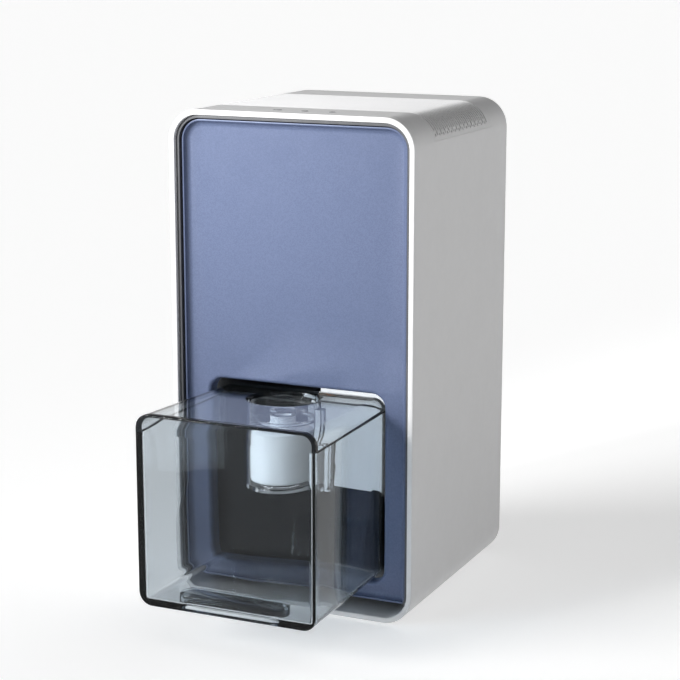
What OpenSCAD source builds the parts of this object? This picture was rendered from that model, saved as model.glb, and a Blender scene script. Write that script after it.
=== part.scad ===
// Compact table-top dehumidifier with a pull-out water tank.
// Frame: origin at the centre of the base, +Z up, the front faces -Y, millimetres.
// The tank is drawn part-way out; it slides back along +Y to close.

/* [Casing] */
// Width of the casing
body_w = 131.3; // [120:0.1:150]
// Depth of the casing, front rim to rear rim
body_d = 127.6; // [120:0.1:150]
// Height of the casing without its base pad
body_h = 250; // [245:0.5:270]
// Outer radius of the casing's long edges
corner_r = 15.6; // [14:0.1:20]
// Wall of the sleeve and width of the front rim
wall = 2.8; // [2.4:0.1:3.5]
// How far the base pad stands out under the casing
pad_proud = 0.6; // [0.4:0.1:1]

/* [Front] */
// Depth of the white front frame before its seam
bezel_t = 0.9; // [0.8:0.1:1.5]
// Width of the dark ring inside the rim
ring_w = 1.75; // [1.5:0.05:2]
// Height of the air gap under the front panel, above the base
panel_z = 10; // [9:0.5:11]
// Width of the flange round the front panel
flange_w = 1; // [0.8:0.1:1.2]
// Depth of the dished face behind the flange
dish = 2.9; // [2:0.1:3]

/* [Tank bay] */
// Width of the opening for the tank
open_w = 95.6; // [95.2:0.1:96.4]
// Lower edge of the opening
open_z0 = 17.9; // [17.8:0.1:18]
// Upper edge of the opening
open_z1 = 114.2; // [114:0.1:114.5]
// Corner radius of the opening
open_r = 7; // [6:0.5:8]
// Place of the bay's rear wall behind the origin
bay_back = 9.5; // [9:0.5:12]

/* [Water tank] */
// How far the tank is pulled out from closed
tank_out = 54; // [40:1:60]
// Front-to-back length of the tank
tank_len = 87.5; // [85:0.5:88]
// Half width of the tank at its front
tank_hw = 47; // [46.5:0.1:47.2]
// Draft of the tank's sides in plan, in degrees
tank_draft = 1.3; // [0.5:0.1:1.5]
// Underside of the tank
tank_z0 = 18.5; // [18.4:0.1:18.6]
// Top of the lid at the front
lid_z1 = 113.4; // [113:0.1:113.6]
// Fall of the lid's top towards the rear, in degrees
lid_fall = 2.1; // [1:0.1:2.5]
// Parting line between tank and lid
parting_z = 104.2; // [103:0.1:105]
// Diameter of the filling hole in the lid
lid_hole_d = 34.5; // [34:0.1:35]
// Diameter of the float
float_d = 31; // [30:0.1:31.2]

/* [Air path] */
// Width of one slot in the top grille
slot_w = 1.2; // [1:0.1:1.5]
// Spacing of the slots
slot_pitch = 2.6; // [2.4:0.1:3]
// Size of the square fan
fan_size = 92; // [90:1:92]
// Number of fan blades
blades = 7; // [5:1:9]
// Number of fins on the hot sink
hot_fins = 20; // [16:1:22]
// Number of fins on the cold sink
cold_fins = 15; // [10:1:16]

/* [Hidden] */
$fn = 72;
eps = 0.01;

white = [0.93, 0.93, 0.94];
shade_grey = [0.36, 0.37, 0.39];
panel_blue = [0.27, 0.34, 0.52];
bay_grey = [0.15, 0.15, 0.17];
smoke = [0.55, 0.62, 0.66, 0.45];
clear = [0.8, 0.84, 0.88, 0.5];
alloy = [0.75, 0.76, 0.78];
steel = [0.6, 0.61, 0.63];
black = [0.08, 0.08, 0.09];
board_green = [0.1, 0.35, 0.2];

// Casing
front_y = -body_d / 2;
rear_y = body_d / 2;
shell_y0 = front_y + bezel_t;
tongue_t = 1.3;             // inner skirt of the front frame
tongue_y1 = -41;
fit_gap = 0.05;             // between parts that are pushed together
grille_y0 = -38;
grille_y1 = 39.5;
grille_z = 236.8;
grille_t = 2.2;
cover_y0 = rear_y - 4.2;    // rear cover, set in from the rear rim
cover_t = 2;
boss_r = 4.2;
boss_x = body_w / 2 - 9.2;
boss_z = [9.4, body_h - 9.4];
pad_size = [96, 92];
pad_t = 1.6;

// Front panel, behind the rim
ring_y0 = front_y + 2.1;
ring_y1 = -55;
panel_inset = wall + ring_w + 0.55;
flange_y = front_y + 3.7;
face_y = flange_y + dish;
panel_y1 = face_y + 2.4;
collar_y1 = -49.8;
collar_t = 2.8;
lip = 2.2;                  // rounding of the opening's edge
open_h = open_z1 - open_z0;
open_zc = (open_z0 + open_z1) / 2;

// Tank bay
liner_gap = 1;              // from the opening's edge to the bay's inner wall
liner_t = 1.8;
liner_z0 = open_z0 - 0.4;
liner_z1 = open_z1 + 2;
roof_z = liner_z1 + liner_t;
skirt_y = -37;
floor_z = wall;             // inner floor of the casing
bulkhead_hw = 56;
plate_z = 42.4;             // lower edge of the white plate on the rear wall

// Tank, as drawn
closed_y = -80.05;          // front face when closed
tank_y0 = closed_y - tank_out;
tank_y1 = tank_y0 + tank_len;
seal_t = 0.6;
tank_wall = 2.6;
tank_floor = 3;
hole_y = tank_y0 + 62.5;    // centre of the filling hole
drain_y = hole_y + tank_out; // the same place when closed

// Air path
stack_y = -4;               // cold face of the thermoelectric module
fan_y = 6;
fan_z0 = 207.6;
fan_h = 25.4;
fan_r = 43.5;
fan_hole = 41.25;
duct_hw = 46;
duct_y0 = -36;
duct_y1 = 48;
duct_z0 = 134;
duct_t = 1.6;
shaft_r = 1.5;
hub_r = 18;

// Electrics
board_y = 18;               // front face of the power board
board_screw_x = [-35, 35];
board_screw_z = [32, 100];
inlet_x = 38;
inlet_z = 20;
key_x = [-12, 3, 18];       // the three touch keys

// Half width of the tank at a distance behind its front
function side_at(back) = tank_hw - back * tan(tank_draft);
// Height of the lid's top at a distance behind the tank's front
function lid_at(back) = lid_z1 - back * tan(lid_fall);
// Quarter round from angle a to angle a + 90, as points
function quarter(c, r, a, n = 6) = [for (i = [0 : n])
    [c[0] + r * cos(a + 90 * i / n), c[1] + r * sin(a + 90 * i / n)]];

// Everything stands on the base pad
module lift() translate([0, 0, pad_proud]) children();

// A flat outline in X and Z, drawn out from y0 to y1
module along_y(y0, y1) translate([0, y1, 0]) rotate([90, 0, 0]) linear_extrude(y1 - y0) children();

// Rectangle with true round corners, centred
module rrect(w, h, r) {
    square([w - 2 * r, h], center = true);
    square([w, h - 2 * r], center = true);
    for (sx = [-1, 1], sz = [-1, 1]) translate([sx * (w / 2 - r), sz * (h / 2 - r)]) circle(r);
}

// The casing's outline, moved inwards by inset
module case_outline(inset = 0) translate([0, body_h / 2])
    rrect(body_w - 2 * inset, body_h - 2 * inset, corner_r - inset);

module case_ring(outer, inner) difference() {
    case_outline(outer);
    case_outline(inner);
}

// The front panel's outline: round at the top, square at the bottom
module panel_outline(inset = 0) difference() {
    case_outline(panel_inset + inset);
    translate([-body_w, -1]) square([2 * body_w, panel_z + 1 + inset]);
}

module opening(grow = 0) translate([0, open_zc])
    rrect(open_w + 2 * grow, open_h + 2 * grow, open_r + grow);

// Pan-head screw along +Z from the underside of its head
module screw(r, len, head_r, head_h) difference() {
    union() {
        translate([0, 0, -head_h]) cylinder(r = head_r, h = head_h);
        cylinder(r = r, h = len);
    }
    for (a = [0, 90]) rotate([0, 0, a])
        translate([-head_r * 0.6, -head_r * 0.13, -head_h - 1])
            cube([head_r * 1.2, head_r * 0.26, head_h * 0.5 + 1]);
}

// ---- casing ----

module outer_shell() color(white) lift() {
    difference() {
        along_y(shell_y0, rear_y) case_ring(0, wall);
        along_y(shell_y0 - 1, tongue_y1 + fit_gap) case_outline(wall - tongue_t - fit_gap);
        translate([-body_w, grille_y0, grille_z])
            cube([2 * body_w, grille_y1 - grille_y0, body_h]);
        translate([0, 0, -1]) linear_extrude(1 + pad_t - pad_proud) rrect(pad_size[0], pad_size[1], 8);
    }
    for (sx = [-1, 1], z = boss_z) difference() {
        translate([sx * boss_x, 48, z]) rotate([-90, 0, 0]) cylinder(r = boss_r, h = cover_y0 - 48);
        translate([sx * boss_x, 50, z]) rotate([-90, 0, 0]) cylinder(r = 1.25, h = 20);
    }
}

module front_bezel() color(white) lift() difference() {
    union() {
        along_y(front_y, shell_y0) case_ring(0, wall);
        along_y(shell_y0 - eps, tongue_y1) case_ring(wall - tongue_t, wall);
        for (x = [-31, 31]) translate([x, -45, body_h - wall - 6.2]) cylinder(r = 2.6, h = 6.6);
    }
    for (x = [-31, 31]) translate([x, -45, body_h - wall - 7]) cylinder(r = 1, h = 5);
}

module panel_ring() color(shade_grey) lift() difference() {
    along_y(ring_y0, ring_y1) case_ring(wall + fit_gap, wall + ring_w);
    translate([-body_w, ring_y0 - 1, -1]) cube([2 * body_w, 20, panel_z + 1]);
}

module front_panel() color(panel_blue) lift() difference() {
    union() {
        along_y(flange_y, panel_y1) panel_outline();
        along_y(face_y, collar_y1) opening(collar_t);
    }
    hull() {
        along_y(flange_y - 1, flange_y) panel_outline(flange_w, $fn = 32);
        along_y(face_y - eps, face_y) panel_outline(flange_w + dish, $fn = 32);
    }
    along_y(face_y - 1, collar_y1 + 1) opening();
    hull() {
        along_y(face_y - eps, face_y) opening(lip, $fn = 32);
        along_y(face_y + lip, face_y + lip + eps) opening(0, $fn = 32);
    }
}

// Slots run round the casing from side to side; the ribs that tie the bars lie below the surface
module top_grille() color(white) lift() {
    edge = 0.06;
    rib_depth = 1.1;
    first = grille_y0 + 2;
    count = floor((grille_y1 - grille_y0 - 4 + slot_pitch - slot_w) / slot_pitch);
    ribs = [-50, -25, 0, 25, 50];
    rib_w = 1.4;
    difference() {
        along_y(grille_y0 + edge, grille_y1 - edge) case_ring(0, grille_t);
        translate([-body_w, grille_y0, -1]) cube([2 * body_w, 100, grille_z + edge + 1]);
        for (i = [0 : count - 1]) translate([0, first + i * slot_pitch, 0]) {
            low = grille_z + (i % 2 == 0 ? 4.6 : 2.6);
            intersection() {
                along_y(0, slot_w) case_ring(-1, rib_depth);
                translate([-body_w, -1, low]) cube([2 * body_w, slot_w + 2, body_h]);
            }
            for (k = [0 : len(ribs) - 2]) translate([ribs[k] + rib_w / 2, 0, body_h - 8])
                cube([ribs[k + 1] - ribs[k] - rib_w, slot_w, 9]);
            for (sx = [0, 1]) mirror([sx, 0, 0]) {
                translate([50 + rib_w / 2, 0, low]) cube([20, slot_w, 20]);
                if (i % 2 == 0) translate([55, 0, grille_z + 2]) cube([20, slot_w, 1.4]);
            }
        }
    }
}

// Three printed key marks: a power ring, a drop and a crescent
module key_icons() color("white") lift() translate([0, 0, body_h]) {
    mark_t = 0.12;
    mark_y = -51;
    translate([key_x[0], mark_y, 0]) linear_extrude(mark_t) {
        difference() {
            circle(2.2);
            circle(1.7);
            translate([-0.7, 0.6]) square([1.4, 3]);
        }
        translate([-0.25, 0.6]) square([0.5, 2]);
    }
    translate([key_x[1], mark_y, 0]) linear_extrude(mark_t) {
        translate([0, -0.5]) circle(1.7);
        polygon([[-1.6, 0.1], [1.6, 0.1], [0, 2.6]]);
    }
    translate([key_x[2], mark_y, 0]) linear_extrude(mark_t) difference() {
        circle(2.2);
        translate([1.1, 0.7]) circle(1.9);
    }
}

module rear_cover() color(white) lift() difference() {
    along_y(cover_y0, cover_y0 + cover_t) case_outline(wall + 0.15);
    for (i = [0 : 21]) translate([-38, cover_y0 - 1, 136 + i * 4]) cube([76, 4, 1.8]);
    for (i = [0 : 9]) translate([-38, cover_y0 - 1, 66 + i * 4]) cube([76, 4, 1.8]);
    for (sx = [-1, 1], z = boss_z) translate([sx * boss_x, cover_y0 - 1, z])
        rotate([-90, 0, 0]) cylinder(r = 1.7, h = 5);
    translate([inlet_x, cover_y0 - 1, inlet_z]) rotate([-90, 0, 0]) cylinder(r = 5.6, h = 5);
}

module base_pad() color(black) linear_extrude(pad_t) rrect(pad_size[0] - 0.2, pad_size[1] - 0.2, 7.9);

module case_screws() color(steel) lift() for (sx = [-1, 1], z = boss_z)
    translate([sx * boss_x, cover_y0 + cover_t, z]) rotate([90, 0, 0]) screw(1.25, 10, 2.8, 1.8);

// ---- tank bay ----

module bay_liner() color(bay_grey) lift() {
    bay_w = open_w + 2 * liner_gap;
    bay_h = liner_z1 - liner_z0;
    zc = (liner_z0 + liner_z1) / 2;
    difference() {
        union() {
            along_y(collar_y1, bay_back + liner_t) translate([0, zc])
                rrect(bay_w + 2 * liner_t, bay_h + 2 * liner_t, 7.5);
            intersection() {
                union() {
                    // bulkhead behind the bay, down to the floor
                    translate([-bulkhead_hw, bay_back, 0]) cube([2 * bulkhead_hw, liner_t, roof_z]);
                    // louvred skirt under the bay's front
                    translate([-bulkhead_hw, skirt_y, 0]) cube([2 * bulkhead_hw, liner_t, liner_z0]);
                }
                along_y(-60, 60) case_outline(wall + fit_gap);
            }
            // posts for the power board
            for (x = board_screw_x, z = board_screw_z) translate([x, bay_back + liner_t - eps, z])
                rotate([-90, 0, 0]) cylinder(r = 3, h = board_y - bay_back - liner_t + eps);
        }
        along_y(collar_y1 - 1, bay_back) translate([0, zc]) rrect(bay_w, bay_h, 6);
        for (i = [0 : 21]) translate([-53.5 + i * 5, skirt_y - 1, floor_z + 2]) cube([2, 4, 8]);
        translate([0, drain_y, liner_z1 - 1]) cylinder(r = 6.2, h = 5);
        for (x = board_screw_x, z = board_screw_z) translate([x, bay_back + liner_t + 1, z])
            rotate([-90, 0, 0]) cylinder(r = 1, h = 10);
    }
    // runners that the tank slides on
    for (x = [-30, 30]) translate([x - 1.5, collar_y1 + 0.5, liner_z0 - eps]) cube([3, 58, 0.7]);
}

// White plate on the bay's rear wall
module bay_back_cover() color(white) lift()
    translate([-17, bay_back - 0.65, plate_z]) cube([61.5, 0.6, liner_z1 - plate_z - 1]);

// ---- cooling core ----

// Open box round both sinks; it stands on the bay's roof and carries the fan
module air_duct() color(bay_grey) lift() {
    screw_boss_z = 197;
    top_z = fan_z0 - 0.2;
    difference() {
        union() {
            difference() {
                translate([-duct_hw, duct_y0, duct_z0])
                    cube([2 * duct_hw, duct_y1 - duct_y0, top_z - duct_z0]);
                translate([duct_t - duct_hw, duct_y0 + duct_t, duct_z0 - 1])
                    cube([2 * (duct_hw - duct_t), duct_y1 - duct_y0 - 2 * duct_t, 100]);
            }
            for (sx = [-1, 1], sy = [-1, 1])
                translate([sx * fan_hole, fan_y + sy * fan_hole, screw_boss_z])
                    cylinder(r = 4, h = top_z - screw_boss_z);
        }
        for (sx = [-1, 1], sy = [-1, 1])
            translate([sx * fan_hole, fan_y + sy * fan_hole, screw_boss_z - 1])
                cylinder(r = 2.05, h = 20);
    }
    for (sx = [0, 1]) mirror([sx, 0, 0]) {
        translate([duct_hw - 6, duct_y0, roof_z]) cube([6, 6, duct_z0 - roof_z + eps]);
        // gusset that holds the overhang behind the bay
        translate([duct_hw - duct_t, 0, 0]) rotate([90, 0, 90]) linear_extrude(duct_t)
            polygon([[2, roof_z], [bay_back, roof_z], [duct_y1, duct_z0 + eps], [2, duct_z0 + eps]]);
    }
}

module hot_sink() color(alloy) lift() {
    base_t = 5.2;
    z0 = 138;
    h = 66;
    pitch = 82.6 / (hot_fins - 1);
    difference() {
        translate([-42, stack_y + 3.8, z0]) cube([84, base_t, h]);
        for (x = [-25, 25]) translate([x, 0, z0 + h / 2])
            rotate([-90, 0, 0]) translate([0, 0, stack_y + 3]) cylinder(r = 1.55, h = 8);
    }
    for (i = [0 : hot_fins - 1])
        translate([-42 + i * pitch, stack_y + 3.8 + base_t - eps, z0]) cube([1.4, 38, h]);
}

module cold_sink() color(alloy) lift() {
    z0 = 141;
    h = 60;
    base_t = 4;
    pitch = 58.8 / (cold_fins - 1);
    difference() {
        translate([-30, stack_y - base_t, z0]) cube([60, base_t, h]);
        for (x = [-25, 25]) translate([x, stack_y - base_t - 1, z0 + h / 2])
            rotate([-90, 0, 0]) cylinder(r = 1.65, h = 8);
    }
    for (i = [0 : cold_fins - 1]) if (i != 1 && i != cold_fins - 2)
        translate([-30 + i * pitch, stack_y - base_t - 24, z0]) cube([1.2, 24 + eps, h]);
}

module peltier_module() color([0.95, 0.95, 0.93]) lift() {
    translate([-20, stack_y, 151]) cube([40, 0.8, 40]);
    translate([-20, stack_y + 3, 151]) cube([40, 0.8, 40]);
    for (i = [0 : 7], k = [0 : 7])
        translate([-18.2 + i * 4.9, stack_y + 0.8 - eps, 152.8 + k * 4.9]) cube([2.2, 2.2 + 2 * eps, 2.2]);
}

module sink_gasket() color([0.2, 0.2, 0.22]) lift() difference() {
    translate([-30, stack_y, 141]) cube([60, 3.8, 60]);
    translate([-20.4, stack_y - 1, 150.6]) cube([40.8, 6, 40.8]);
    for (x = [-25, 25]) translate([x, stack_y - 1, 171]) rotate([-90, 0, 0]) cylinder(r = 1.8, h = 6);
}

module clamp_screws() color(steel) lift() for (x = [-25, 25])
    translate([x, stack_y - 4, 171]) rotate([-90, 0, 0]) screw(1.5, 12, 2.8, 2);

// Catches the drops from the cold fins and leads them to the nozzle
module drip_tray() color(white) lift() {
    hw = 33;
    y0 = -35;
    y1 = -2;
    t = 1.6;
    z0 = roof_z + fit_gap;
    difference() {
        union() {
            translate([-hw, y0, z0]) cube([2 * hw, y1 - y0, 12]);
            translate([0, drain_y, z0 - 3.4]) cylinder(r = 4, h = 4);
        }
        translate([t - hw, y0 + t, z0 + t]) cube([2 * (hw - t), y1 - y0 - 2 * t, 20]);
        translate([0, drain_y, z0 - 5]) cylinder(r = 2.5, h = 10);
    }
}

module drip_nozzle() color([0.8, 0.8, 0.82]) lift() translate([0, drain_y, 112.8]) difference() {
    union() {
        cylinder(r = 3.6, h = 2);
        translate([0, 0, 1.8]) cylinder(r = 5.4, h = 3.2);
    }
    translate([0, 0, -1]) cylinder(r = 2, h = 8);
    translate([0, 0, 1.85]) cylinder(r = 4.02, h = 8);
}

// Reed switch that the magnet in the float closes when the tank is full
module float_sensor() color(black) lift() {
    translate([-7, 1, roof_z + fit_gap]) cube([14, 6, 4]);
    for (x = [-4, 4]) translate([x, 4, roof_z + 4]) cylinder(r = 0.4, h = 5);
}

module fan_frame() color(black) lift() translate([0, fan_y, fan_z0]) {
    difference() {
        linear_extrude(fan_h) rrect(fan_size, fan_size, 3.5);
        translate([0, 0, -1]) cylinder(r = fan_r, h = fan_h + 2, $fn = 96);
        for (sx = [-1, 1], sy = [-1, 1]) translate([sx * fan_hole, sy * fan_hole, -1])
            cylinder(r = 2.15, h = fan_h + 2);
    }
    difference() {
        union() {
            cylinder(r = hub_r, h = 2.4);
            cylinder(r = 4, h = 12);
            for (a = [45 : 90 : 315]) rotate([0, 0, a]) translate([hub_r - 2, -1.8, 0])
                cube([fan_r - hub_r + 3, 3.6, 2.4]);
        }
        translate([0, 0, 1]) cylinder(r = 2.8, h = 12);
    }
}

module fan_bearing() color([0.75, 0.6, 0.35]) lift() translate([0, fan_y, fan_z0 + 1]) difference() {
    cylinder(r = 2.8, h = 11);
    translate([0, 0, 1]) cylinder(r = shaft_r + 0.05, h = 12);
}

// Four wound poles round the bearing post
module fan_stator() color([0.7, 0.4, 0.2]) lift() translate([0, fan_y, fan_z0 + 5]) difference() {
    union() {
        cylinder(r = 6, h = 6);
        for (a = [0 : 90 : 270]) rotate([0, 0, a]) {
            translate([4, -2, 0]) cube([9, 4, 6]);
            translate([6.5, -3.2, -0.6]) cube([5, 6.4, 7.2]);
        }
    }
    translate([0, 0, -2]) cylinder(r = 4 + fit_gap, h = 10);
}

module fan_rotor() color([0.12, 0.12, 0.13]) lift() translate([0, fan_y, fan_z0]) {
    top = 22;
    low = 4;
    difference() {
        translate([0, 0, low]) cylinder(r = hub_r, h = top - low);
        translate([0, 0, low - 1]) cylinder(r = hub_r - 2.6, h = top - low - 0.8);
    }
    difference() {
        translate([0, 0, 15]) cylinder(r = 3.4, h = top - 16);
        translate([0, 0, 14]) cylinder(r = shaft_r, h = top - 15.5);
    }
    for (i = [0 : blades - 1]) rotate([0, 0, i * 360 / blades]) intersection() {
        translate([hub_r - 1, 0, 13]) rotate([38, 0, 0]) translate([0, -13, -0.7]) cube([26, 26, 1.4]);
        difference() {
            cylinder(r = fan_r - 0.8, h = top, $fn = 96);
            translate([0, 0, -1]) cylinder(r = hub_r - 0.6, h = top + 2);
        }
    }
}

module fan_shaft() color(steel) lift() translate([0, fan_y, fan_z0 + 2.2])
    cylinder(r = shaft_r, h = 18);

module fan_screws() color(steel) lift() for (sx = [-1, 1], sy = [-1, 1])
    translate([sx * fan_hole, fan_y + sy * fan_hole, fan_z0 + fan_h]) rotate([180, 0, 0])
        screw(2, 30, 3.6, 2.2);

// ---- electrics ----

module power_board() color(board_green) lift() difference() {
    translate([-42, board_y, 26]) cube([84, 1.6, 80]);
    for (x = board_screw_x, z = board_screw_z) translate([x, board_y - 1, z])
        rotate([-90, 0, 0]) cylinder(r = 1.5, h = 4);
}

module board_parts() color([0.15, 0.16, 0.2]) lift() translate([0, board_y + 1.6, 0]) {
    for (x = [-24, -10, 4]) translate([x, 0, 84]) rotate([-90, 0, 0]) cylinder(r = 5, h = 16);
    translate([-28, 0, 44]) cube([24, 14, 20]);
    translate([16, 0, 60]) rotate([-90, 0, 0]) difference() {
        cylinder(r = 9, h = 7);
        translate([0, 0, -1]) cylinder(r = 4, h = 9);
    }
    for (x = [10, 20]) translate([x, 0, 32]) cube([7, 9, 5]);
}

module control_board() color(board_green) lift() difference() {
    translate([-35, -52, 239.4]) cube([70, 12, 1.6]);
    for (x = [-31, 31]) translate([x, -45, 239]) cylinder(r = 1.5, h = 3);
}

module board_screws() color(steel) lift() {
    for (x = board_screw_x, z = board_screw_z) translate([x, board_y + 1.6, z])
        rotate([90, 0, 0]) screw(0.98, 6, 2, 1.4);
    for (x = [-31, 31]) translate([x, -45, 239.4]) screw(0.98, 5, 2, 1.4);
}

// One conical coil under each key mark, from the board to the casing
function coil_point(t, turns, r0, r1, h) =
    [(r0 + (r1 - r0) * t) * cos(360 * turns * t), (r0 + (r1 - r0) * t) * sin(360 * turns * t), h * t];

module coil(turns, r0, r1, h, wire) {
    steps = 14 * turns;
    sides = 6;
    points = [for (i = [0 : steps])
        let (t = i / steps, p = coil_point(t, turns, r0, r1, h), a = 360 * turns * t)
        for (k = [0 : sides - 1]) let (b = 360 * k / sides)
            [p[0] + wire * cos(b) * cos(a), p[1] + wire * cos(b) * sin(a), p[2] + wire * sin(b)]];
    sides_faces = [for (i = [0 : steps - 1], k = [0 : sides - 1]) let (n = (k + 1) % sides)
        [i * sides + k, i * sides + n, (i + 1) * sides + n, (i + 1) * sides + k]];
    ends = [[for (k = [sides - 1 : -1 : 0]) k], [for (k = [0 : sides - 1]) steps * sides + k]];
    polyhedron(points, [for (f = concat(sides_faces, ends)) [for (j = [len(f) - 1 : -1 : 0]) f[j]]]);
}

module touch_springs() color(steel) lift() for (x = key_x)
    translate([x, -47, 241.25]) coil(3, 3, 1.6, 5.5, 0.22);

module dc_inlet() color(black) lift() translate([inlet_x, 0, inlet_z]) {
    difference() {
        union() {
            translate([-5.5, 48, -5.5]) cube([11, cover_y0 - 48.1, 11]);
            translate([0, cover_y0 - 1, 0]) rotate([-90, 0, 0]) cylinder(r = 5.4, h = 3);
        }
        translate([0, 51, 0]) rotate([-90, 0, 0]) cylinder(r = 3.2, h = 20);
    }
    translate([0, 50.5, 0]) rotate([-90, 0, 0]) cylinder(r = 1.05, h = 11);
}

// ---- water tank ----

// Thin upright slab of the tank's front-view outline, at a distance behind the front
module unit_slab(back, inset, top_inset, r) translate([0, tank_y0 + back, 0]) rotate([90, 0, 0])
    linear_extrude(eps) hull() for (sx = [-1, 1], top = [0, 1])
        translate([sx * (side_at(back) - inset - r),
            top == 1 ? lid_at(back) - top_inset - r : tank_z0 + inset + r]) circle(r, $fn = 48);

// Tank and lid as one block, shrunk by the insets
module unit_block(inset = 0, top_inset = 0, end_inset = 0, r = 7) hull() {
    unit_slab(end_inset + eps, inset, top_inset, r);
    unit_slab(tank_len - end_inset, inset, top_inset, r);
}

// The lid's space: above the parting line and behind the tank's full-height front wall
module lid_zone(gap) translate([-100, tank_y0 + tank_wall + gap, parting_z - seal_t / 2 + gap])
    cube([200, 200, 100]);

// Room under the lid
module lid_inside() unit_block(tank_wall, 1.75, tank_wall, 5);

// Inside of the tank: rows are height, inset from the outer walls, corner radius
module tank_cavity() hull()
    for (row = [[tank_z0 + tank_floor, tank_wall + 1.4, 1],
        [tank_z0 + tank_floor + 1.2, tank_wall + 0.2, 1.5],
        [parting_z + 3, tank_wall, 1.5]], front = [0, 1], sx = [-1, 1]) {
        back = front == 1 ? row[1] + row[2] : tank_len - row[1] - row[2];
        translate([sx * (side_at(back) - row[1] - row[2]), tank_y0 + back, row[0]])
            cylinder(r = row[2], h = eps, $fn = 32);
    }

module pill(half_len, w, h) {
    translate([-(half_len - w / 2), -w / 2, 0]) cube([2 * half_len - w, w, h]);
    for (sx = [-1, 1]) translate([sx * (half_len - w / 2), 0, 0]) cylinder(r = w / 2, h = h);
}

module water_tank() color(smoke) lift() {
    grip_y = tank_y0 + 10.05;
    difference() {
        unit_block();
        lid_zone(0);
        difference() {
            tank_cavity();
            translate([0, grip_y, 0]) pill(28.5, 14, tank_z0 + 7.6);
        }
        translate([0, grip_y, 0]) pill(26.3, 9.6, tank_z0 + 5.4);
    }
}

module tank_lid() color(smoke) lift() difference() {
    intersection() {
        unit_block();
        lid_zone(seal_t);
    }
    lid_inside();
    translate([0, hole_y, 0]) cylinder(r = lid_hole_d / 2, h = 200, $fn = 96);
}

module lid_seal() color(black) lift() difference() {
    intersection() {
        unit_block();
        lid_zone(0);
    }
    lid_zone(seal_t);
    lid_inside();
}

// Clear sleeve under the lid that guides the float
module float_well() color(clear) lift() {
    base_z = 66.6;
    intersection() {
        difference() {
            union() {
                translate([0, hole_y, base_z]) cylinder(r = 17.9, h = 60, $fn = 96);
                translate([20.2, hole_y, base_z]) cylinder(r = 2.75, h = 40);
            }
            translate([0, hole_y, base_z + 1.6]) cylinder(r = 16.2, h = 80, $fn = 96);
            translate([0, hole_y, base_z - 1]) cylinder(r = 12, h = 5);
        }
        unit_block(tank_wall, 1.77, tank_wall, 5);
    }
    for (a = [30 : 120 : 270]) translate([13 * cos(a), hole_y + 13 * sin(a), base_z + 1.5])
        cylinder(r = 0.8, h = 1.3);
}

module float_retainer() color(clear) lift() translate([0, hole_y, 99.3]) difference() {
    cylinder(r = 16.15, h = 1.4, $fn = 96);
    translate([0, 0, -1]) cylinder(r = 13.6, h = 4, $fn = 96);
}

module float_body() color(white) lift() translate([0, hole_y, 0]) {
    z0 = 69.5;
    z1 = 94.8;
    r = float_d / 2;
    neck_r = 6.3;
    neck_z = 102.1;
    soft = 1.8;
    rotate_extrude($fn = 96) polygon(concat(
        [[0, z0]], quarter([r - soft, z0 + soft], soft, -90), [[r, z1 - 1]],
        [[r - 1, z1], [neck_r, z1], [neck_r, neck_z], [4.05, neck_z], [4.05, 97], [0, 97]]));
}

module float_magnet() color(steel) lift() translate([0, hole_y, 97.05]) cylinder(r = 4, h = 4);

module float_cap() color(clear) lift() translate([0, hole_y, 101.2]) {
    cylinder(r = 4, h = 1);
    translate([0, 0, 0.92]) cylinder(r = 6.7, h = 3.2);
}

outer_shell();
front_bezel();
panel_ring();
front_panel();
top_grille();
key_icons();
rear_cover();
base_pad();
case_screws();
bay_liner();
bay_back_cover();
air_duct();
hot_sink();
cold_sink();
peltier_module();
sink_gasket();
clamp_screws();
drip_tray();
drip_nozzle();
float_sensor();
fan_frame();
fan_stator();
fan_bearing();
fan_screws();
control_board();
touch_springs();
power_board();
board_parts();
board_screws();
dc_inlet();
fan_rotor();
fan_shaft();
water_tank();
tank_lid();
lid_seal();
float_well();
float_retainer();
float_body();
float_cap();
float_magnet();
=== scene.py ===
"""Looks for a compact table-top dehumidifier: finer shells, materials and a white studio
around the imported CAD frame.

Frame: origin at the centre of the base, +Z up, the front faces -Y, metres. Lengths in the
geometry sections are the CAD's millimetres, and mm() turns them into metres in the frame.
Lengths in the studio and camera sections are metres.
"""

import math

import bmesh
import bpy
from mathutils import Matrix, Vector


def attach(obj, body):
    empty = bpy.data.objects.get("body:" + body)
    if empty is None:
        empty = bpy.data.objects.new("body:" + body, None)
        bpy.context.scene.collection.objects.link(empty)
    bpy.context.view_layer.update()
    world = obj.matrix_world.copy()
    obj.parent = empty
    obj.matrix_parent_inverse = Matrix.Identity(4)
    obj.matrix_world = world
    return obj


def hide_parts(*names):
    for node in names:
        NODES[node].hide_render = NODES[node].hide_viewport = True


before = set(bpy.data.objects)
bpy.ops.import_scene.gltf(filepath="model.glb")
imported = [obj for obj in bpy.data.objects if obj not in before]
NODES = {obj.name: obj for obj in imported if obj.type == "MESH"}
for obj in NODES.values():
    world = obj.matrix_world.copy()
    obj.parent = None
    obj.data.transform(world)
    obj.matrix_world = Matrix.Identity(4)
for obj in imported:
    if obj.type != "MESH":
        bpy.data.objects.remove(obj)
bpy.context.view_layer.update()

# ---- sizes that the finer pieces share with the CAD, in millimetres ----
LIFT = 0.6                       # the base pad stands out this far under the casing
BODY_W, BODY_H, CORNER_R = 131.3, 250.0, 15.6
FRONT_Y, WALL = -63.8, 2.8       # the rim's front, and the wall of rim and sleeve
BEZEL_T = 0.9                    # the rim's depth, up to the seam
SKIRT_T, SKIRT_Y1 = 1.3, -41.0   # the skirt that slides into the sleeve, and its rear end
BOSS_X, BOSS_Y = 31, -45         # the two bosses that hold the control board
BOSS_R, BOSS_Z0, BOSS_Z1 = 2.6, 241, 247.6
PILOT_R, PILOT_Z0, PILOT_Z1 = 1, 240, 245.2    # their screw holes, from below
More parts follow.
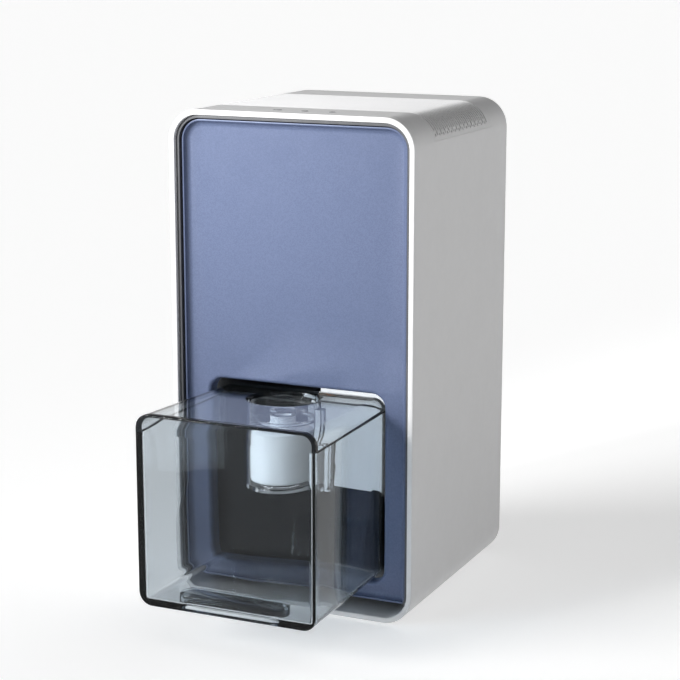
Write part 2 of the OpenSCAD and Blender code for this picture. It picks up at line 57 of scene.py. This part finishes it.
PANEL_INSET, PANEL_Z0 = 5.1, 10.0    # the blue panel's gap to the outline, and its foot
FLANGE_Y, FLANGE_W, DISH = -60.1, 1.0, 2.9
FACE_Y, PANEL_BACK_Y, COLLAR_Y = -57.2, -54.8, -49.8
COLLAR_T, LIP_R = 2.8, 2.2
OPEN_W, OPEN_Z0, OPEN_Z1, OPEN_R = 95.6, 17.9, 114.2, 7.0
TANK_Y0, TANK_LEN, TANK_HW, TANK_R = -134.05, 87.5, 47.0, 7.0
TANK_Z0, PARTING_Z, LID_Z1, SEAL_T = 18.5, 104.2, 113.4, 0.6
TANK_WALL, TANK_FLOOR, LID_ROOF = 2.6, 3.0, 1.75
DRAFT, LID_FALL = math.radians(1.3), math.radians(2.1)
HOLE_Y, HOLE_R = -71.55, 17.25   # the lid's filling hole
GRIP_Y = TANK_Y0 + 10.05         # the middle of the finger grip
GRIP_HALF, GRIP_HALF_W, GRIP_H = 28.5, 7.0, 7.6
POCKET_HALF, POCKET_HALF_W, POCKET_H = 26.9, 5.4, 5.4

# ---- sizes of the finer detail, in millimetres ----
RIM_ROUND, SEAM_CHAMFER = 0.55, 0.12
PANEL_LOW_R, FLANGE_ROUND = 0.4, 0.3
TANK_EDGE, INNER_EDGE = 0.8, 0.3            # rounding of the tank's ends, outside and inside
LID_INNER_R = 5
CAVITY_FLOOR_R, CAVITY_FOOT = 1.2, 0.2      # rounding, and extra wall, along the inside's foot
CAVITY_R_LOW, CAVITY_R_HIGH = 1, 1.5        # the inside's upright corners, foot and top
CAVITY_TOP = PARTING_Z + 3                  # past the walls' top
ZONE_HW, ZONE_TOP = 70, 140                 # a block past the lid on all sides
HOLE_FROM = 60                              # far enough down to cut through the lid

# ---- steps round each corner ----
CASE_STEPS, FACE_STEPS, PLAN_STEPS, PILL_STEPS = 14, 12, 10, 16

# ---- shading of the edges ----
SHARP_DEG = 32                   # edges that turn more than this are rounded or stay sharp
WELD_GAP = 2e-6                  # metres


def mm(x, y, z):
    """A point given in the CAD's millimetres, above the base pad, as metres in the frame."""
    return (x / 1000, y / 1000, (z + LIFT) / 1000)


# ---- mesh helpers ----
def quarter(steps, first=0):
    """(sine, cosine) at each step of a quarter turn, from step first on."""
    turns = [math.pi / 2 * i / steps for i in range(first, steps + 1)]
    return [(math.sin(t), math.cos(t)) for t in turns]


def corner_arc(cx, cz, r, a0, a1, steps):
    """Points on a round corner, from angle a0 to a1 in degrees."""
    angles = [math.radians(a0 + (a1 - a0) * i / steps) for i in range(steps + 1)]
    return [(cx + r * math.cos(a), cz + r * math.sin(a)) for a in angles]


def round_rect(x0, x1, z0, z1, r_low, r_high, steps):
    """Outline of a rectangle whose lower and upper corners have their own radii."""
    return (
        corner_arc(x1 - r_low, z0 + r_low, r_low, -90, 0, steps)
        + corner_arc(x1 - r_high, z1 - r_high, r_high, 0, 90, steps)
        + corner_arc(x0 + r_high, z1 - r_high, r_high, 90, 180, steps)
        + corner_arc(x0 + r_low, z0 + r_low, r_low, 180, 270, steps)
    )


def sweep(name, rings, closed=False):
    """An object through rings of equally many points: closed on itself, or capped at its ends."""
    bm = bmesh.new()
    loops = [[bm.verts.new(mm(*p)) for p in ring] for ring in rings]
    count = len(loops[0])
    last = len(loops) if closed else len(loops) - 1
    for i in range(last):
        a, b = loops[i], loops[(i + 1) % len(loops)]
        for k in range(count):
            n = (k + 1) % count
            bm.faces.new((a[k], a[n], b[n], b[k]))
    if not closed:
        bm.faces.new(loops[0])
        bm.faces.new(loops[-1])
    bmesh.ops.recalc_face_normals(bm, faces=bm.faces)
    mesh = bpy.data.meshes.new(name)
    bm.to_mesh(mesh)
    bm.free()
    obj = bpy.data.objects.new(name, mesh)
    bpy.context.scene.collection.objects.link(obj)
    return obj


def carve(obj, steps):
    """Applies exact booleans to obj. Steps are (operation, other object); the others go."""
    for operation, other in steps:
        cut = obj.modifiers.new("cut", "BOOLEAN")
        cut.solver = "EXACT"
        cut.operation = operation
        cut.object = other
        graph = bpy.context.evaluated_depsgraph_get()
        graph.update()
        made = bpy.data.meshes.new_from_object(obj.evaluated_get(graph))
        obj.modifiers.clear()
        obj.data = made
        bpy.data.objects.remove(other)
    return obj


def smooth(obj):
    """Smooth shading that keeps the sharp edges."""
    mesh = obj.data
    mesh.polygons.foreach_set("use_smooth", [True] * len(mesh.polygons))
    mesh.set_sharp_from_angle(angle=math.radians(SHARP_DEG))


def soften(obj, width):
    """Rounds the sharp edges of obj by width, in millimetres, without touching its own mesh.

    A width of 0 leaves obj flat shaded.
    """
    weld = obj.modifiers.new("weld", "WELD")
    weld.merge_threshold = WELD_GAP
    if width:
        bevel = obj.modifiers.new("edges", "BEVEL")
        bevel.width = width / 1000
        bevel.segments = 2
        bevel.limit_method = "ANGLE"
        bevel.angle_limit = math.radians(SHARP_DEG)
        bevel.use_clamp_overlap = False
        flat = obj.modifiers.new("flat", "WEIGHTED_NORMAL")
        flat.weight = 100
    obj.data.polygons.foreach_set("use_smooth", [width > 0] * len(obj.data.polygons))


def disc_stack(name, x, y, levels, steps):
    """A turned shape about a vertical axis: levels are (radius, height)."""
    angles = [2 * math.pi * k / steps for k in range(steps)]
    return sweep(name, [
        [(x + r * math.cos(a), y + r * math.sin(a), z) for a in angles] for r, z in levels
    ])


# ---- casing pieces ----
def case_ring(inset, y):
    """The casing's outline, inset on all sides."""
    hw = BODY_W / 2 - inset
    r = CORNER_R - inset
    outline = round_rect(-hw, hw, inset, BODY_H - inset, r, r, CASE_STEPS)
    return [(x, y, z) for x, z in outline]


def front_bezel():
    """White front frame: rounded rim, a fine seam, and the skirt inside the sleeve."""
    seam_y = FRONT_Y + BEZEL_T
    skirt = WALL - SKIRT_T
    profile = [(skirt, SKIRT_Y1), (skirt, seam_y), (SEAM_CHAMFER, seam_y),
               (0, seam_y - SEAM_CHAMFER)]
    profile += [(RIM_ROUND * (1 - c), FRONT_Y + RIM_ROUND * (1 - s)) for s, c in quarter(6)]
    profile += [(WALL - RIM_ROUND * (1 - s), FRONT_Y + RIM_ROUND * (1 - c))
                for s, c in quarter(6)]
    profile += [(WALL, seam_y), (WALL, SKIRT_Y1)]
    obj = sweep("front_bezel_fine", [case_ring(inset, y) for inset, y in profile], closed=True)
    for x in (-BOSS_X, BOSS_X):
        boss = disc_stack("boss", x, BOSS_Y, [(BOSS_R, BOSS_Z0), (BOSS_R, BOSS_Z1)], 32)
        hole = disc_stack("hole", x, BOSS_Y, [(PILOT_R, PILOT_Z0), (PILOT_R, PILOT_Z1)], 24)
        carve(obj, [("UNION", boss), ("DIFFERENCE", hole)])
    return obj


def panel_ring_at(inset, y):
    """The panel's outline, inset on all sides."""
    side = PANEL_INSET + inset
    hw = BODY_W / 2 - side
    outline = round_rect(-hw, hw, PANEL_Z0 + inset, BODY_H - side, PANEL_LOW_R,
                         CORNER_R - side, FACE_STEPS)
    return [(x, y, z) for x, z in outline]


def opening_at(grow, y):
    """The outline of the tank's opening, grown on all sides."""
    hw = OPEN_W / 2 + grow
    r = OPEN_R + grow
    outline = round_rect(-hw, hw, OPEN_Z0 - grow, OPEN_Z1 + grow, r, r, FACE_STEPS)
    return [(x, y, z) for x, z in outline]


def front_panel():
    """Blue front: a narrow flange, a hollow bevel down to the face, and a rounded lip and a
    collar round the tank's opening.
    """
    rim = [(0, PANEL_BACK_Y), (0, FLANGE_Y + FLANGE_ROUND),
           (FLANGE_ROUND * 0.3, FLANGE_Y + FLANGE_ROUND * 0.3), (FLANGE_ROUND, FLANGE_Y),
           (FLANGE_W - 0.25, FLANGE_Y), (FLANGE_W - 0.05, FLANGE_Y + 0.1)]
    rim += [(FLANGE_W + DISH * (1 - c), FLANGE_Y + DISH * s) for s, c in quarter(8, first=1)]
    lip = [(LIP_R * (1 - s), FACE_Y + LIP_R * (1 - c)) for s, c in quarter(8)]
    lip += [(0, COLLAR_Y - 0.3), (0.3, COLLAR_Y), (COLLAR_T, COLLAR_Y), (COLLAR_T, PANEL_BACK_Y)]
    rings = [panel_ring_at(inset, y) for inset, y in rim]
    rings += [opening_at(grow, y) for grow, y in lip]
    return sweep("front_panel_fine", rings, closed=True)


# ---- tank pieces ----
def side_at(back):
    """Half the tank's width, at a distance behind its front."""
    return TANK_HW - back * math.tan(DRAFT)


def unit_ring(back, inset, top_inset, r):
    """The tank's and lid's outline in front view, at a distance behind the tank's front."""
    hw = side_at(back) - inset
    top = LID_Z1 - back * math.tan(LID_FALL) - top_inset
    outline = round_rect(-hw, hw, TANK_Z0 + inset, top, r, r, FACE_STEPS)
    return [(x, TANK_Y0 + back, z) for x, z in outline]


def unit_block(name, inset, top_inset, end_inset, r, soft):
    """Tank and lid as one block with its front and rear edges rounded by soft."""
    rings = []
    for s, c in quarter(4):
        less = soft * (1 - s)
        rings.append(unit_ring(end_inset + soft * (1 - c), inset + less, top_inset + less,
                               r - less))
    stations = 12
    middle = TANK_LEN - 2 * (end_inset + soft)
    for i in range(1, stations):
        back = end_inset + soft + middle * i / stations
        rings.append(unit_ring(back, inset, top_inset, r))
    for s, c in quarter(4):
        less = soft * (1 - c)
        rings.append(unit_ring(TANK_LEN - end_inset - soft * (1 - s), inset + less,
                               top_inset + less, r - less))
    return sweep(name, rings)


def cavity_ring(z, inset, r):
    """Plan outline of the tank's inside, with the draft of its sides."""
    front, rear = inset + r, TANK_LEN - inset - r
    xf = side_at(front) - inset - r
    xr = side_at(rear) - inset - r
    lean = math.degrees(DRAFT)
    outline = corner_arc(xf, TANK_Y0 + front, r, -90, lean, PLAN_STEPS)
    outline += corner_arc(xr, TANK_Y0 + rear, r, lean, 90, PLAN_STEPS)
    outline += corner_arc(-xr, TANK_Y0 + rear, r, 90, 180 - lean, PLAN_STEPS)
    outline += corner_arc(-xf, TANK_Y0 + front, r, 180 - lean, 270, PLAN_STEPS)
    return [(x, y, z) for x, y in outline]


def pill(name, half, half_w, levels):
    """A long round-ended shape across the tank: levels are (shrinkage, height)."""
    rings = []
    for less, z in levels:
        w = half_w - less
        end = half - less - w
        outline = corner_arc(end, GRIP_Y, w, -90, 90, PILL_STEPS)
        outline += corner_arc(-end, GRIP_Y, w, 90, 270, PILL_STEPS)
        rings.append([(x, y, z) for x, y in outline])
    return sweep(name, rings)


def lid_zone(name, gap):
    """The lid's space: above the parting line and behind the tank's full-height front wall."""
    low = PARTING_Z - SEAL_T / 2 + gap
    outline = [(-ZONE_HW, low), (ZONE_HW, low), (ZONE_HW, ZONE_TOP), (-ZONE_HW, ZONE_TOP)]
    return sweep(name, [[(x, y, z) for x, z in outline]
                        for y in (TANK_Y0 + TANK_WALL + gap, 0)])


def water_tank():
    """Clear tank: thin drafted walls, a rounded floor edge, and the finger grip raised in its
    floor.
    """
    obj = unit_block("water_tank_fine", 0, 0, 0, TANK_R, TANK_EDGE)
    rings = []
    for s, c in quarter(6):
        z = TANK_Z0 + TANK_FLOOR + CAVITY_FLOOR_R * (1 - c)
        inset = TANK_WALL + CAVITY_FOOT + CAVITY_FLOOR_R * (1 - s)
        rings.append(cavity_ring(z, inset, CAVITY_R_LOW + (CAVITY_R_HIGH - CAVITY_R_LOW) * s))
    rings.append(cavity_ring(CAVITY_TOP, TANK_WALL, CAVITY_R_HIGH))
    cavity = sweep("cavity", rings)
    top = TANK_Z0 + GRIP_H
    boss = pill("boss", GRIP_HALF, GRIP_HALF_W,
                [(0, TANK_Z0), (0, top - 1.4), (0.4, top - 0.5), (1.4, top)])
    carve(cavity, [("DIFFERENCE", boss)])
    roof = TANK_Z0 + POCKET_H
    pocket = pill("pocket", POCKET_HALF, POCKET_HALF_W,
                  [(0, TANK_Z0 - 1), (0, TANK_Z0), (0.6, TANK_Z0 + 0.6), (0.6, roof - 1),
                   (1, roof - 0.3), (1.7, roof)])
    return carve(obj, [("DIFFERENCE", lid_zone("lid_space", 0)), ("DIFFERENCE", cavity),
                       ("DIFFERENCE", pocket)])


def tank_lid():
    """Clear lid: a shallow cap that falls to the rear, with the filling hole's rounded edge."""
    obj = unit_block("tank_lid_fine", 0, 0, 0, TANK_R, TANK_EDGE)
    inner = unit_block("inner", TANK_WALL, LID_ROOF, TANK_WALL, LID_INNER_R, INNER_EDGE)
    top = LID_Z1 - (HOLE_Y - TANK_Y0) * math.tan(LID_FALL)
    hole = disc_stack("hole", 0, HOLE_Y,
                      [(HOLE_R, HOLE_FROM), (HOLE_R, top - 0.9), (HOLE_R + 0.3, top - 0.35),
                       (HOLE_R + 1.1, top + 0.45), (HOLE_R + 1.1, ZONE_TOP)], 96)
    return carve(obj, [("INTERSECT", lid_zone("zone", SEAL_T)), ("DIFFERENCE", inner),
                       ("DIFFERENCE", hole)])


# ---- materials ----
NOISE_LOW, NOISE_HIGH = 0.3, 0.7     # the part of a noise's range that is used
PATCH_SCALE, GLOSS_SHARE = 60, 0.2   # mottle, and uneven gloss as a share of the grain's scale
PAINT_GLOSS_SCALE, BOARD_GLOSS_SCALE = 90, 300
HAZE_SCALE, WAVE_SCALE = 120, 45     # clear plastic's uneven gloss and its faint waves


def plug(tree, node, **sockets):
    """Gives node's inputs their values, or links them from the output that is given."""
    for socket, value in sockets.items():
        target = node.inputs[socket.replace("_", " ")]
        if isinstance(value, bpy.types.NodeSocket):
            tree.links.new(value, target)
        else:
            target.default_value = value
    return node


def add(tree, kind, **sockets):
    """A new shader node with its inputs set."""
    return plug(tree, tree.nodes.new("ShaderNode" + kind), **sockets)


def new_material(name):
    """(material, its node tree, its Principled shader, the object's own coordinates)"""
    material = bpy.data.materials.new(name)
    material.use_nodes = True
    tree = material.node_tree
    return material, tree, tree.nodes["Principled BSDF"], add(tree, "TexCoord").outputs["Object"]


def noise(tree, place, scale, detail=3.0):
    return add(tree, "TexNoise", Vector=place, Scale=scale, Detail=detail,
               Roughness=0.55).outputs["Fac"]


def spread(tree, value, low, high):
    """Maps a noise value onto low to high."""
    return add(tree, "MapRange", Value=value, From_Min=NOISE_LOW, From_Max=NOISE_HIGH,
               To_Min=low, To_Max=high).outputs["Result"]


def two_tone(tree, value, dark, light):
    """Maps a noise value onto the colours from dark to light."""
    node = add(tree, "ValToRGB", Fac=value)
    stops = ((NOISE_LOW, dark), (NOISE_HIGH, light))
    for element, (position, colour) in zip(node.color_ramp.elements, stops):
        element.position = position
        element.color = (*colour, 1)
    return node.outputs["Color"]


def bump(tree, value, strength, depth_mm):
    return add(tree, "Bump", Height=value, Strength=strength,
               Distance=depth_mm / 1000).outputs["Normal"]


def shade(colour, factor):
    return tuple(min(1.0, c * factor) for c in colour)


def moulded(name, colour, rough, mottle, grain, stretch=None, **sockets):
    """Plastic, metal or rubber: slight colour variation, uneven gloss and a fine grain.

    grain is (scale, strength, depth in millimetres), and stretch scales its coordinates.
    """
    material, tree, shader, place = new_material(name)
    fine = add(tree, "Mapping", Vector=place, Scale=stretch).outputs["Vector"] if stretch else place
    scale, strength, depth = grain
    patches = noise(tree, place, PATCH_SCALE)
    plug(tree, shader,
         Base_Color=two_tone(tree, patches, shade(colour, 1 - mottle), shade(colour, 1 + mottle)),
         Roughness=spread(tree, noise(tree, fine, scale * GLOSS_SHARE, 4.0), *rough),
         Normal=bump(tree, noise(tree, fine, scale, 2.0), strength, depth),
         **sockets)
    return material


def flake_paint(name, dark, light, rough, flakes, **sockets):
    """Satin metallic paint: small flakes that tilt the surface, under a thin clear coat."""
    material, tree, shader, place = new_material(name)
    cells = add(tree, "TexVoronoi", Vector=place, Scale=flakes).outputs["Color"]
    split = add(tree, "SeparateColor", Color=cells)
    plug(tree, shader,
         Base_Color=two_tone(tree, split.outputs["Red"], dark, light),
         Roughness=spread(tree, noise(tree, place, PAINT_GLOSS_SCALE), *rough),
         Normal=bump(tree, split.outputs["Green"], strength=0.06, depth_mm=0.012),
         **sockets)
    return material


def clear(name, ior, rough, colour, tint, density, lamp, **sockets):
    """Clear plastic: faint waves from moulding, and a tint that deepens with the thickness.

    lamp is the share of the lamps' light that it lets through.
    """
    material, tree, shader, place = new_material(name)
    plug(tree, shader,
         Base_Color=(*colour, 1), Transmission_Weight=1.0, IOR=ior,
         Roughness=spread(tree, noise(tree, place, HAZE_SCALE, 4.0), *rough),
         Normal=bump(tree, noise(tree, place, WAVE_SCALE, 1.0), strength=0.004, depth_mm=0.4),
         **sockets)
    mix = add(tree, "MixShader", Fac=add(tree, "LightPath").outputs["Is Shadow Ray"])
    through = add(tree, "BsdfTransparent", Color=(*lamp, 1))
    tree.links.new(shader.outputs["BSDF"], mix.inputs[1])
    tree.links.new(through.outputs["BSDF"], mix.inputs[2])
    inside = add(tree, "VolumeAbsorption", Color=(*tint, 1), Density=density)
    plug(tree, tree.nodes["Material Output"],
         Surface=mix.outputs["Shader"], Volume=inside.outputs["Volume"])
    return material


def circuit(name):
    """Green board with copper tracks under the lacquer."""
    material, tree, shader, place = new_material(name)
    upright = add(tree, "Mapping", Vector=place, Rotation=(math.radians(90), 0, 0))
    tracks = add(tree, "TexBrick", Vector=upright.outputs["Vector"], Scale=260, Mortar_Size=0.06,
                 Color1=(0.01, 0.11, 0.045, 1), Color2=(0.012, 0.13, 0.05, 1),
                 Mortar=(0.03, 0.2, 0.07, 1))
    plug(tree, shader,
         Base_Color=tracks.outputs["Color"],
         Roughness=spread(tree, noise(tree, place, BOARD_GLOSS_SCALE), 0.28, 0.4),
         Normal=bump(tree, tracks.outputs["Fac"], strength=0.3, depth_mm=0.05))
    return material


# name: (colour, roughness, mottle, grain, other sockets or the grain's stretch)
MOULDED = {
    "white_shell": ((0.56, 0.56, 0.564), (0.42, 0.52), 0.012, (1400, 0.18, 0.015),
                    {"Specular_IOR_Level": 0.45}),
    "dark_trim": ((0.055, 0.057, 0.064), (0.3, 0.42), 0.05, (1200, 0.2, 0.015), {}),
    "key_print": ((0.16, 0.165, 0.175), (0.5, 0.6), 0.06, (2200, 0.2, 0.01), {}),
    "rubber": ((0.022, 0.022, 0.024), (0.75, 0.9), 0.15, (700, 0.5, 0.05), {}),
    "screw_steel": ((0.55, 0.55, 0.56), (0.25, 0.4), 0.06, (900, 0.25, 0.01), {"Metallic": 1.0}),
    "bay_plastic": ((0.012, 0.012, 0.014), (0.16, 0.24), 0.1, (900, 0.06, 0.01), {}),
    # painted light: this white has a faint bluish glow, so the bay's back cover and the drip tray
    # shine though they are no lamp
    "white_inner": ((0.9, 0.9, 0.91), (0.35, 0.45), 0.015, (1100, 0.2, 0.015),
                    {"Emission_Color": (0.93, 0.96, 1, 1), "Emission_Strength": 0.8}),
    "sink_alloy": ((0.8, 0.8, 0.81), (0.28, 0.45), 0.04, (500, 0.3, 0.01),
                   {"stretch": (1, 1, 0.03), "Metallic": 1.0}),
    "ceramic": ((0.82, 0.81, 0.77), (0.55, 0.7), 0.02, (1600, 0.2, 0.01), {}),
    "gasket_foam": ((0.035, 0.035, 0.038), (0.85, 0.95), 0.2, (450, 0.8, 0.15), {}),
    "silicone": ((0.62, 0.63, 0.64), (0.45, 0.6), 0.03, (800, 0.2, 0.02),
                 {"Subsurface_Weight": 0.2}),
    "black_plastic": ((0.02, 0.02, 0.021), (0.35, 0.5), 0.1, (900, 0.35, 0.03), {}),
    "copper": ((0.62, 0.26, 0.12), (0.25, 0.4), 0.1, (1800, 0.9, 0.12),
               {"stretch": (0.15, 0.15, 1), "Metallic": 1.0}),
    "bronze": ((0.5, 0.33, 0.14), (0.35, 0.5), 0.08, (1500, 0.3, 0.02), {"Metallic": 1.0}),
    "spring_steel": ((0.6, 0.6, 0.6), (0.2, 0.3), 0.05, (900, 0.2, 0.01), {"Metallic": 1.0}),
    "float_white": ((0.92, 0.925, 0.93), (0.55, 0.7), 0.01, (650, 0.3, 0.04), {}),
    "magnet": ((0.3, 0.3, 0.31), (0.3, 0.45), 0.06, (1100, 0.2, 0.01), {"Metallic": 1.0}),
}
MATERIALS = {
    name: moulded(name, colour, rough, mottle, grain, **others)
    for name, (colour, rough, mottle, grain, others) in MOULDED.items()
}
MATERIALS["panel_blue"] = flake_paint(
    "panel_blue", dark=(0.075, 0.096, 0.166), light=(0.088, 0.112, 0.19), rough=(0.36, 0.42),
    flakes=2600, Metallic=0.1, Coat_Weight=0.05, Coat_Roughness=0.3, Specular_IOR_Level=0.25)
MATERIALS["circuit_board"] = circuit("circuit_board")
MATERIALS["smoke_clear"] = clear(
    "smoke_clear", ior=1.46, rough=(0.0, 0.02), colour=(0.84, 0.858, 0.872),
    tint=(0.6, 0.66, 0.7), density=170, lamp=(0.62, 0.65, 0.67),
    Specular_Tint=(0.4, 0.41, 0.42, 1))
MATERIALS["clear_plastic"] = clear(
    "clear_plastic", ior=1.36, rough=(0.0, 0.03), colour=(0.97, 0.975, 0.98),
    tint=(0.8, 0.83, 0.86), density=30, lamp=(0.93, 0.94, 0.95))

# node: (material, edge rounding in millimetres)
LOOKS = {
    "outer_shell": ("white_shell", 0.08), "front_bezel": ("white_shell", 0.2),
    "panel_ring": ("dark_trim", 0.15), "front_panel": ("panel_blue", 0),
    "top_grille": ("white_shell", 0.05), "key_icons": ("key_print", 0),
    "rear_cover": ("white_shell", 0), "base_pad": ("rubber", 0.25),
    "case_screws": ("screw_steel", 0.12), "bay_liner": ("bay_plastic", 0.2),
    # the bay's back cover and the drip tray carry the white with a painted glow
    "bay_back_cover": ("white_inner", 0.1), "air_duct": ("bay_plastic", 0.2),
    "hot_sink": ("sink_alloy", 0.1), "cold_sink": ("sink_alloy", 0.1),
    "peltier_module": ("ceramic", 0.05), "sink_gasket": ("gasket_foam", 0.2),
    "clamp_screws": ("screw_steel", 0.12), "drip_tray": ("white_inner", 0.2),
    "drip_nozzle": ("silicone", 0.15), "float_sensor": ("black_plastic", 0.15),
    "fan_frame": ("black_plastic", 0.25), "fan_stator": ("copper", 0.15),
    "fan_bearing": ("bronze", 0.1), "fan_screws": ("screw_steel", 0.12),
    "control_board": ("circuit_board", 0.05), "touch_springs": ("spring_steel", 0),
    "power_board": ("circuit_board", 0.05), "board_parts": ("black_plastic", 0.15),
    "board_screws": ("screw_steel", 0.1), "dc_inlet": ("black_plastic", 0.15),
    "fan_rotor": ("black_plastic", 0.15), "fan_shaft": ("screw_steel", 0.1),
    "water_tank": ("smoke_clear", 0), "tank_lid": ("smoke_clear", 0),
    "lid_seal": ("rubber", 0), "float_well": ("clear_plastic", 0.15),
    "float_retainer": ("clear_plastic", 0.1), "float_body": ("float_white", 0.1),
    "float_cap": ("clear_plastic", 0.1), "float_magnet": ("magnet", 0.1),
}


def coat(piece, look):
    """Gives piece one material and no other."""
    piece.data.materials.clear()
    piece.data.materials.append(MATERIALS[look])


for node, (look, rounding) in LOOKS.items():
    coat(NODES[node], look)
    soften(NODES[node], rounding)

# ---- finer pieces that stand for a CAD node ----
FINER = {"front_bezel": (front_bezel, "casing"), "front_panel": (front_panel, "casing"),
         "water_tank": (water_tank, "tank"), "tank_lid": (tank_lid, "tank")}
for node, (make, body) in FINER.items():
    piece = make()
    look = LOOKS[node][0]
    coat(piece, look)
    smooth(piece)
    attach(piece, body)
    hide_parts(node)

# ---- studio, in metres ----
FLOOR_HALF = 60.0
WHITE = (1, 1, 1, 1)
CORNERS = ((-1, -1), (1, -1), (1, 1), (-1, 1))
floor_mesh = bpy.data.meshes.new("floor")
floor_mesh.from_pydata([(x * FLOOR_HALF, y * FLOOR_HALF, 0) for x, y in CORNERS], [],
                       [(0, 1, 2, 3)])
floor = bpy.data.objects.new("floor", floor_mesh)
bpy.context.scene.collection.objects.link(floor)
floor_look, floor_tree, floor_shader, _ = new_material("floor_white")
plug(floor_tree, floor_shader, Base_Color=(0.9, 0.9, 0.9, 1), Roughness=0.9,
     Specular_IOR_Level=0.1, Emission_Color=WHITE, Emission_Strength=0.38)
floor_mesh.materials.append(floor_look)


def light(name, kind, energy, towards, **settings):
    """A lamp whose light comes from the direction towards."""
    lamp = bpy.data.objects.new(name, bpy.data.lights.new(name, kind))
    lamp.data.energy = energy
    for setting, value in settings.items():
        setattr(lamp.data, setting, value)
    lamp.rotation_mode = "QUATERNION"
    lamp.rotation_quaternion = towards.to_track_quat("Z", "Y")
    bpy.context.scene.collection.objects.link(lamp)
    return lamp


def bearing(turn, height):
    """A direction in degrees: turn from the front towards the right, height above the floor."""
    turn, height = math.radians(turn), math.radians(height)
    level = math.cos(height)
    return Vector((math.sin(turn) * level, -math.cos(turn) * level, math.sin(height)))


light("key", "SUN", energy=3.1, towards=bearing(turn=-46, height=20), angle=math.radians(32))
light("overhead", "SUN", energy=0.55, towards=bearing(turn=110, height=72),
      angle=math.radians(70))

# a soft-edged spot on the upper left of the front gives the panel its fall-off
SPOT_AT = Vector((-0.38, -0.72, 0.42))
SPOT_ON = Vector((-0.05, -0.06, 0.23))
spot = light("spot", "SPOT", energy=42, towards=SPOT_AT - SPOT_ON, shadow_soft_size=0.08,
             spot_size=math.radians(27), spot_blend=1.0)
spot.location = SPOT_AT

# a white wall of light stands low round the floor, under a dimmer ceiling
WALL_TOP_DEG, CEILING_FROM_DEG = 10, 16
world = bpy.data.worlds.new("studio")
world.use_nodes = True
sky = world.node_tree
look_up = add(sky, "SeparateXYZ", Vector=add(sky, "TexCoord").outputs["Generated"])
dim = add(sky, "MapRange", Value=look_up.outputs["Z"],
          From_Min=math.sin(math.radians(WALL_TOP_DEG)),
          From_Max=math.sin(math.radians(CEILING_FROM_DEG)), To_Min=1.0, To_Max=0.1)
plug(sky, sky.nodes["Background"], Color=WHITE, Strength=dim.outputs["Result"])
bpy.context.scene.world = world
bpy.context.scene.view_settings.view_transform = "Standard"

# ---- camera, as solved from the casing's edges in the photo ----
CAMERA_AT = (0.3979, -0.8780, 0.3353)
CAMERA_PITCH, CAMERA_YAW = math.radians(77.809), math.radians(24.474)
camera = bpy.data.objects.new("camera", bpy.data.cameras.new("camera"))
camera.data.lens = 100
camera.data.sensor_width = 36
camera.location = CAMERA_AT
camera.rotation_euler = (CAMERA_PITCH, 0, CAMERA_YAW)
camera.data.clip_start = 0.05
camera.data.clip_end = 200
bpy.context.scene.collection.objects.link(camera)
bpy.context.scene.camera = camera
